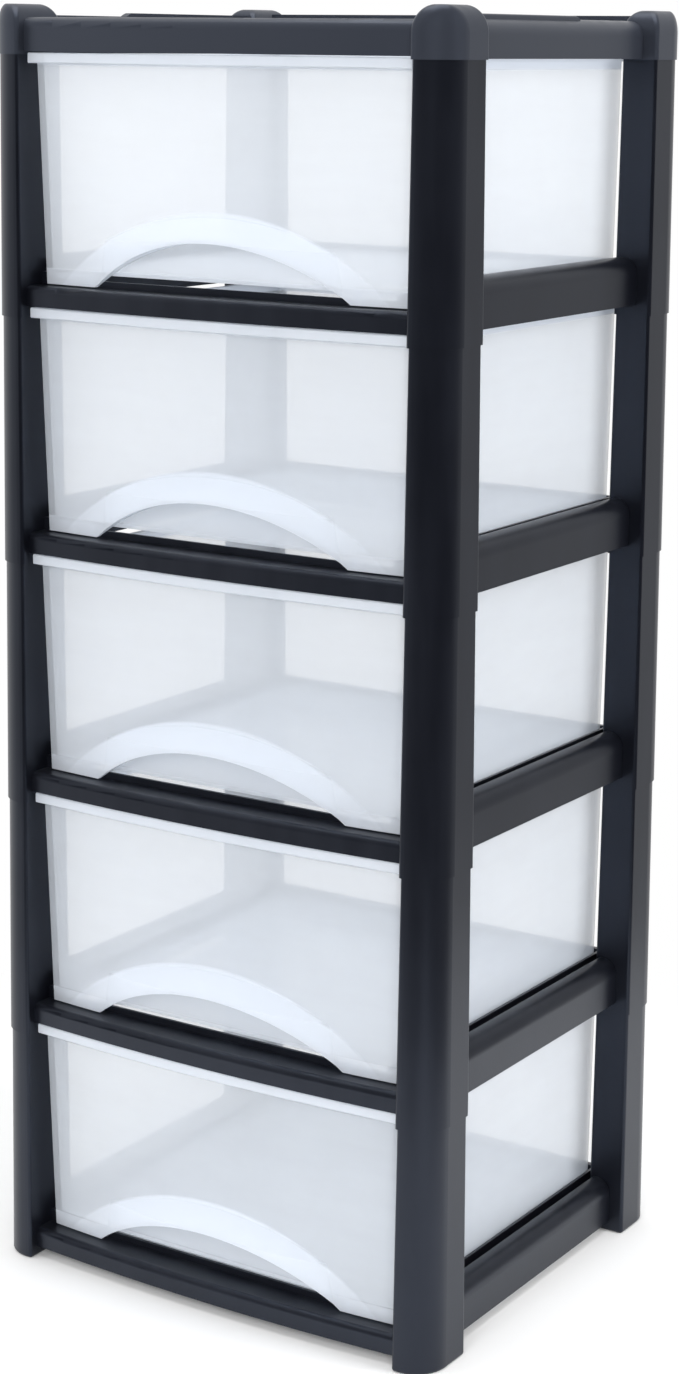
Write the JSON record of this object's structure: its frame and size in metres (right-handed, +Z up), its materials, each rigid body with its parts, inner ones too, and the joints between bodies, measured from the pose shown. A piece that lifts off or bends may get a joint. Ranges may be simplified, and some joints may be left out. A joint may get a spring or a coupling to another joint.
{
  "type": "plastic drawer tower",
  "caption": "Tall stacking storage tower: dark moulded plastic frames with corner posts carry translucent pull-out drawers with arched finger grips.",
  "frame": {"origin": "on the floor, at the middle of the footprint", "axes": "+Z up along the tower's height, -Y the way the drawers pull out, +X to the right of a person facing the drawers"},
  "size_m": [0.396, 0.356, 0.97],
  "materials": {
    "frame_plastic": "satin moulded plastic",
    "drawer_plastic": "translucent milky moulded plastic"
  },
  "bodies": {
    "frame": {"top_frame": "frame_plastic", "tier_frame_1": "frame_plastic", "tier_frame_2": "frame_plastic", "tier_frame_3": "frame_plastic", "tier_frame_4": "frame_plastic", "tier_frame_5": "frame_plastic"},
    "drawer_body_1": {"drawer_1": "drawer_plastic"},
    "drawer_body_2": {"drawer_2": "drawer_plastic"},
    "drawer_body_3": {"drawer_3": "drawer_plastic"},
    "drawer_body_4": {"drawer_4": "drawer_plastic"},
    "drawer_body_5": {"drawer_5": "drawer_plastic"}
  },
  "joints": [
    {"name": "drawer_1_slide", "type": "slide", "parent": "frame", "child": "drawer_body_1", "axis": [0, -1, 0], "range_m": [0, 0.24]},
    {"name": "drawer_2_slide", "type": "slide", "parent": "frame", "child": "drawer_body_2", "axis": [0, -1, 0], "range_m": [0, 0.24]},
    {"name": "drawer_3_slide", "type": "slide", "parent": "frame", "child": "drawer_body_3", "axis": [0, -1, 0], "range_m": [0, 0.24]},
    {"name": "drawer_4_slide", "type": "slide", "parent": "frame", "child": "drawer_body_4", "axis": [0, -1, 0], "range_m": [0, 0.24]},
    {"name": "drawer_5_slide", "type": "slide", "parent": "frame", "child": "drawer_body_5", "axis": [0, -1, 0], "range_m": [0, 0.24]}
  ]
}
